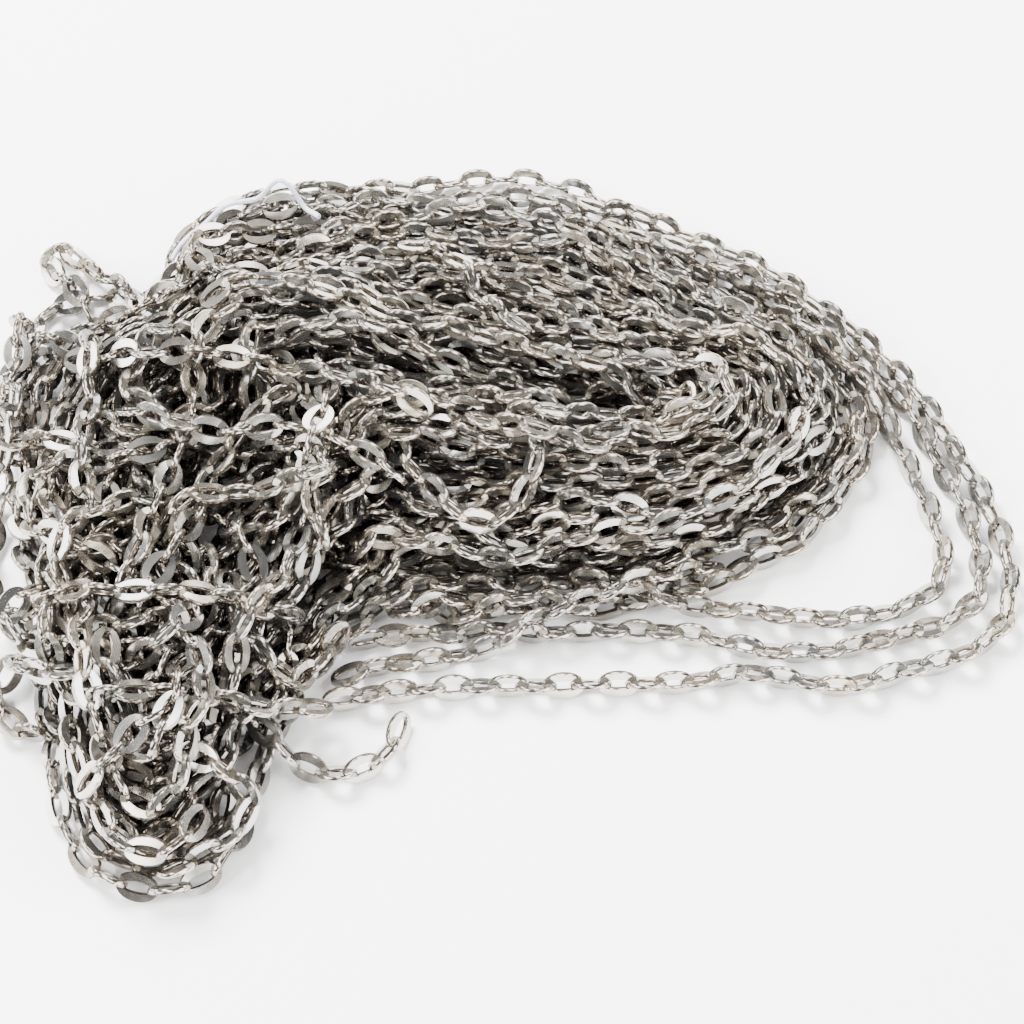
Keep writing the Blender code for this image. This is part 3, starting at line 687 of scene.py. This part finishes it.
def steel_material(name, marks_and_shade, warm, cool, smooth, worn, depth):
    """Steel with the fine details and painted shade given, at its own colours, roughness and depth
    of hairlines.
    """
    material, nodes, wire, shader = new_material(name)
    shader.inputs["Metallic"].default_value = METALLIC
    group = nodes.new("ShaderNodeGroup")
    group.node_tree = marks_and_shade
    for label, value in (("Warm", warm), ("Cool", cool), ("Smooth", smooth), ("Worn", worn),
                         ("Hairline Depth", depth)):
        group.inputs[label].default_value = value
    wire(group.outputs["Color"], shader.inputs["Base Color"])
    wire(group.outputs["Roughness"], shader.inputs["Roughness"])
    wire(group.outputs["Normal"], shader.inputs["Normal"])
    return material


def steel_materials():
    """The steel of a link's drawn wire, painted darker as painted shade, and the steel of its
    pressed rails.
    """
    marks_and_shade = steel_marks_and_shade_group()
    return (steel_material("drawn_wire_steel_painted_darker", marks_and_shade, *WIRE_STEEL_PAINTED_DARKER),
            steel_material("pressed_rail_steel", marks_and_shade, *RAIL_STEEL))


def link_tree():
    """The node tree that sets one link at each place, along its axis and side."""
    tree = bpy.data.node_groups.new("chain_links", "GeometryNodeTree")
    face = tree.interface
    for name, kind in (("Places", "Geometry"), ("Link", "Object"), ("Hidden Link", "Object"),
                       ("Link Size", "Float"), ("Tone Seed", "Int"), ("Wire Steel", "Material"),
                       ("Rail Steel", "Material")):
        face.new_socket(name, in_out="INPUT", socket_type=f"NodeSocket{kind}")
    face.new_socket("Links", in_out="OUTPUT", socket_type="NodeSocketGeometry")
    new, wire = tree.nodes.new, tree.links.new

    def named(name, kind):
        """The node that reads one of the places' own attributes."""
        node = new("GeometryNodeInputNamedAttribute")
        node.data_type = kind
        node.inputs["Name"].default_value = name
        return node

    enter, leave = new("NodeGroupInput"), new("NodeGroupOutput")
    turn = new("FunctionNodeAxesToRotation")
    turn.primary_axis, turn.secondary_axis = "Z", "Y"
    for name, socket in (("axis", "Primary Axis"), ("side", "Secondary Axis")):
        wire(named(name, "FLOAT_VECTOR").outputs["Attribute"], turn.inputs[socket])
    hidden = named("hidden", "BOOLEAN")
    seen = new("FunctionNodeBooleanMath")
    seen.operation = "NOT"
    wire(hidden.outputs["Attribute"], seen.inputs[0])
    both = new("GeometryNodeJoinGeometry")
    for label, chosen in (("Link", seen.outputs["Boolean"]),
                          ("Hidden Link", hidden.outputs["Attribute"])):
        source = new("GeometryNodeObjectInfo")
        wire(enter.outputs[label], source.inputs["Object"])
        instance = new("GeometryNodeInstanceOnPoints")
        wire(enter.outputs["Places"], instance.inputs["Points"])
        wire(chosen, instance.inputs["Selection"])
        wire(source.outputs["Geometry"], instance.inputs["Instance"])
        wire(turn.outputs["Rotation"], instance.inputs["Rotation"])
        wire(enter.outputs["Link Size"], instance.inputs["Scale"])
        wire(instance.outputs["Instances"], both.inputs["Geometry"])
    tone = new("FunctionNodeRandomValue")
    wire(enter.outputs["Tone Seed"], tone.inputs["Seed"])
    keep = new("GeometryNodeStoreNamedAttribute")
    keep.data_type, keep.domain = "FLOAT", "INSTANCE"
    keep.inputs["Name"].default_value = "tone"
    wire(both.outputs["Geometry"], keep.inputs["Geometry"])
    wire(tone.outputs["Value"], keep.inputs["Value"])
    realize = new("GeometryNodeRealizeInstances")
    wire(keep.outputs["Geometry"], realize.inputs["Geometry"])
    whole = new("GeometryNodeSetMaterial")
    wire(realize.outputs["Geometry"], whole.inputs["Geometry"])
    wire(enter.outputs["Wire Steel"], whole.inputs["Material"])
    rails = new("GeometryNodeSetMaterial")
    wire(whole.outputs["Geometry"], rails.inputs["Geometry"])
    wire(named("pressed", "BOOLEAN").outputs["Attribute"], rails.inputs["Selection"])
    wire(enter.outputs["Rail Steel"], rails.inputs["Material"])
    wire(rails.outputs["Geometry"], leave.inputs["Links"])
    return tree


def depth_inside(middles):
    """How deep each link lies under the cover round it, from whichever side shows it best."""
    depth_left = np.full(len(middles), np.inf)
    looks = [(0, 90)] + [(turn, rise) for turn in LOOK_TURNS for rise in LOOK_RISES]
    for turn, rise in np.radians(looks):
        right = np.array([-math.sin(turn), math.cos(turn), 0])
        look = np.array([math.cos(turn) * math.cos(rise), math.sin(turn) * math.cos(rise),
                         math.sin(rise)])
        cell = np.floor(middles @ np.column_stack([right, np.cross(look, right)])
                        / COVER_CELL).astype(int)
        cell -= cell.min(axis=0) - 1
        nearness = middles @ look
        top = np.full(cell.max(axis=0) + 2, -np.inf)
        np.maximum.at(top, tuple(cell.T), nearness)
        cover = np.sort([top[cell[:, 0] + i, cell[:, 1] + j]
                         for i in (-1, 0, 1) for j in (-1, 0, 1)], axis=0)[COVER_RANK]
        depth_left = np.minimum(depth_left, cover - nearness)
    return depth_left


class HeapSurface:
    """The heap's own surface as a smoothed height over each spot of the plan, for painted shade.
    """

    def __init__(self, middles, axes, sides):
        places = touch_places(middles, axes, sides)
        self.corner = places[:, :2].min(axis=0) - SHADE_MARGIN * SHADE_CELL
        cell = ((places[:, :2] - self.corner) / SHADE_CELL).astype(int)
        top = np.zeros(cell.max(axis=0) + SHADE_MARGIN)
        np.maximum.at(top, tuple(cell.T), places[:, 2] + END_WIRE / 2)
        top = self.over_cells(top, 1).max(axis=0)
        self.height = self.over_cells(top, SHADE_REACH).mean(axis=0)

    def over_cells(self, field, reach):
        """The field's values at each cell and at all cells round it within a reach."""
        padded = np.pad(field, reach)
        return np.array([padded[i:i + field.shape[0], j:j + field.shape[1]]
                         for i in range(2 * reach + 1) for j in range(2 * reach + 1)])

    def shade_at(self, points):
        """How much painted shade each point gets: from 0 at the surface to 1 deep under it."""
        cell = ((points[:, :2] - self.corner) / SHADE_CELL).astype(int)
        depth = self.height[tuple(cell.T)] - points[:, 2]
        return np.clip((depth - SHADE_FROM) / (SHADE_FULL - SHADE_FROM), 0, 1)


def make_links(name, middles, axes, sides, depth, surface, tree, values):
    """A piece of chain: one link at each middle, a plainer one where it is hidden."""
    places = bpy.data.meshes.new(name)
    places.vertices.add(len(middles))
    places.vertices.foreach_set("co", to_part(middles).ravel())
    for label, vectors in (("axis", axes), ("side", sides)):
        layer = places.attributes.new(label, "FLOAT_VECTOR", "POINT")
        layer.data.foreach_set("vector", vectors.astype(np.float32).ravel())
    layer = places.attributes.new("hidden", "BOOLEAN", "POINT")
    layer.data.foreach_set("value", depth > HIDDEN_FROM)
    piece = bpy.data.objects.new(name, places)
    bpy.context.scene.collection.objects.link(piece)
    modifier = piece.modifiers.new("links", "NODES")
    modifier.node_group = tree
    for item in tree.interface.items_tree:
        if item.name in values:
            modifier[item.identifier] = values[item.name]
    piece.update_tag()
    evaluated = piece.evaluated_get(bpy.context.evaluated_depsgraph_get())
    piece_mesh = bpy.data.meshes.new_from_object(evaluated)
    # Painted shade: each point's depth under the heap's surface, stored so the steel there is
    # painted darker
    points = np.empty(3 * len(piece_mesh.vertices), np.float32)
    piece_mesh.vertices.foreach_get("co", points)
    shade = surface.shade_at(points.reshape(-1, 3) / MM + (*MIDDLE, 0))
    layer = piece_mesh.attributes.new("shade", "FLOAT", "POINT")
    layer.data.foreach_set("value", shade)
    piece.modifiers.clear()
    piece.data = piece_mesh
    piece_mesh.name = name
    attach(piece, "root")
    return piece


def make_floor():
    """The plain pale floor."""
    bpy.ops.mesh.primitive_plane_add(size=FLOOR_SIDE)
    floor = bpy.context.active_object
    floor.name = "floor"
    material, _ = clouded_material("pale_floor", FLOOR_CLOUDS, FLOOR_COLOURS, FLOOR_ROUGHNESS)
    floor.data.materials.append(material)


def make_world():
    """Dark walls with bright patches, which the steel reflects, and a plain tone for the rest."""
    world = bpy.data.worlds.new("studio")
    bpy.context.scene.world = world
    world.use_nodes = True
    nodes, wire = world.node_tree.nodes, world.node_tree.links.new
    background = nodes["Background"]
    place = nodes.new("ShaderNodeTexCoord")
    walls = noise(nodes, wire, place.outputs["Generated"], WALL_SCALE, WALL_DETAIL,
                  WALL_ROUGHNESS)
    tones = nodes.new("ShaderNodeValToRGB")
    stops = tones.color_ramp.elements
    first, *between, last = WALL_TONES
    stops[0].position, stops[0].color = first
    stops[-1].position, stops[-1].color = last
    for position, colour in between:
        stops.new(position).color = colour
    wire(walls, tones.inputs["Fac"])
    seen = nodes.new("ShaderNodeLightPath")
    plain = nodes.new("ShaderNodeMath")
    plain.operation = "MAXIMUM"
    wire(seen.outputs["Is Camera Ray"], plain.inputs[0])
    wire(seen.outputs["Is Diffuse Ray"], plain.inputs[1])
    wire(mix_colours(nodes, wire, plain.outputs["Value"], tones.outputs["Color"], PLAIN_TONE),
         background.inputs["Color"])
    background.inputs["Strength"].default_value = STUDIO_STRENGTH


def make_lights():
    """Soft lamps that point at the heap and don't show in the steel."""
    for name, place, size, power in LAMPS:
        light = bpy.data.lights.new(name, "AREA")
        light.size = size
        light.energy = power
        lamp = bpy.data.objects.new(name, light)
        lamp.visible_glossy = False
        lamp.location = place
        lamp.rotation_euler = (-Vector(place)).to_track_quat("-Z", "Y").to_euler()
        bpy.context.scene.collection.objects.link(lamp)


def make_camera():
    """A camera at the photograph's viewing angle, found from the links' known size."""
    camera = bpy.data.cameras.new("camera")
    camera.sensor_width = SENSOR
    camera.lens = SENSOR * FOCAL_PIXELS / PICTURE_PIXELS
    camera.clip_start = 0.005
    view = bpy.data.objects.new("camera", camera)
    eye = (0, -CAMERA_DISTANCE * math.cos(LOOK_DOWN), CAMERA_DISTANCE * math.sin(LOOK_DOWN))
    view.location = to_part(eye)[0]
    view.rotation_euler = (math.pi / 2 - LOOK_DOWN, 0, 0)
    bpy.context.scene.collection.objects.link(view)
    bpy.context.scene.camera = view


def thread_material():
    """Translucent plastic with a faint tint."""
    material, shader = clouded_material("clear_tie_thread", THREAD_CLOUDS, THREAD_COLOURS,
                                        THREAD_ROUGHNESS)
    shader.inputs["Transmission Weight"].default_value = THREAD_CLEARNESS
    shader.inputs["IOR"].default_value = THREAD_IOR
    return material


def make_thread(middles):
    """The tie thread, laid over the settled links, with its one arc."""
    plan = smooth_route(THREAD_PLAN, THREAD_STEP)
    along = np.arange(len(plan)) * THREAD_STEP
    reached = [np.hypot(*(middles[:, :2] - point).T) < THREAD_REACH for point in plan]
    height = np.array([middles[near, 2].max(initial=THREAD_LOWEST) for near in reached])
    height += THREAD_CLEARANCE
    window = np.hanning(THREAD_SMOOTHING)
    window /= window.sum()
    padded = np.pad(height, THREAD_SMOOTHING // 2, mode="edge")
    height = np.convolve(padded, window, mode="valid")
    arc = np.clip((along - ARC_START) / (ARC_END - ARC_START), 0, 1)
    height += ARC_RISE * np.sin(arc * math.pi) ** 2
    curve = bpy.data.curves.new("tie_thread_line", "CURVE")
    curve.dimensions = "3D"
    curve.bevel_depth = THREAD_RADIUS * MM
    curve.bevel_resolution = 3
    curve.use_fill_caps = True
    spline = curve.splines.new("POLY")
    spline.points.add(len(plan) - 1)
    for point, place in zip(spline.points, to_part(np.column_stack([plan, height]))):
        point.co = (*place, 1)
    thread = bpy.data.objects.new("tie_thread_line", curve)
    bpy.context.scene.collection.objects.link(thread)
    curve.materials.append(thread_material())
    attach(thread, "root")
    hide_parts("tie_thread")


# The solids' nodes that a strand of several nodes replaces, piece by piece
SHARED_NODES = {
    "wound_turns": [["heap_core"], [f"left_turn_{k}" for k in range(1, 7)],
                    ["left_run_1", "left_run_2"]],
    "hank_turns": [[f"hank_turn_{k}" for k in range(1, 7)]],
    "middle_tangle": [["middle_tangle_1", "middle_tangle_2"]],
    "left_tangle": [["left_tangle_1", "left_tangle_2", "left_tangle_3"]],
}
# A strand of more links than this is split into pieces
PIECE_LINKS = 780


def main():
    """Set up the studio, lay and settle the chain, and make its links and its thread."""
    draw = np.random.default_rng(SEED)
    make_camera()
    make_world()
    make_lights()
    make_floor()
    names, strands, holds = [], [], []

    def add(name, path, hold):
        names.append(name)
        strands.append(path)
        holds.append(hold)

    add("wound_turns", wound_turns(draw, OUTLINE, SPINE, TURNS_ON_FLOOR), WOUND_HOLD)
    add("hank_turns", wound_turns(draw, HANK_OUTLINE, HANK_SPINE, HANK_TURNS_ON_FLOOR),
        WOUND_HOLD)
    for name, tangle in TANGLES.items():
        add(name, wandering(draw, *tangle), TANGLE_HOLD)
    for group, pitch, hold in ((OVER_ROUTES, PITCH, OVER_HOLD),
                               (LOOSE_ROUTES, LOOSE_PITCH, LOOSE_HOLD)):
        for name, route in group.items():
            add(name, lay_on(smooth_route(route, pitch), np.vstack(strands)), hold)
    middles, axes, sides, strand = settle(strands, np.array(holds), draw)
    depth = depth_inside(middles)
    surface = HeapSurface(middles, axes, sides)
    models = [bpy.data.objects.new(name, link_mesh(name, steps))
              for name, steps in (("link", LINK_STEPS), ("hidden_link", HIDDEN_STEPS))]
    for model in models:
        bpy.context.scene.collection.objects.link(model)
    wire_steel, rail_steel = steel_materials()
    tree = link_tree()
    values = {"Link": models[0], "Hidden Link": models[1], "Link Size": 1.0,
              "Wire Steel": wire_steel, "Rail Steel": rail_steel}
    for number, name in enumerate(names):
        chosen = np.nonzero(strand == number)[0]
        parts = math.ceil(len(chosen) / PIECE_LINKS)
        for part, some in enumerate(np.array_split(chosen, parts)):
            label = f"{name}_{part + 1}" if parts > 1 else f"{name}_links"
            values["Tone Seed"] = number + part
            piece = make_links(label, middles[some], axes[some], sides[some], depth[some],
                               surface, tree, values)
            if name in SHARED_NODES:
                if part < len(SHARED_NODES[name]):
                    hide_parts(*SHARED_NODES[name][part])
            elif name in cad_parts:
                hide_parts(name)
    for model in models:
        bpy.data.objects.remove(model, do_unlink=True)
    make_thread(middles)


main()
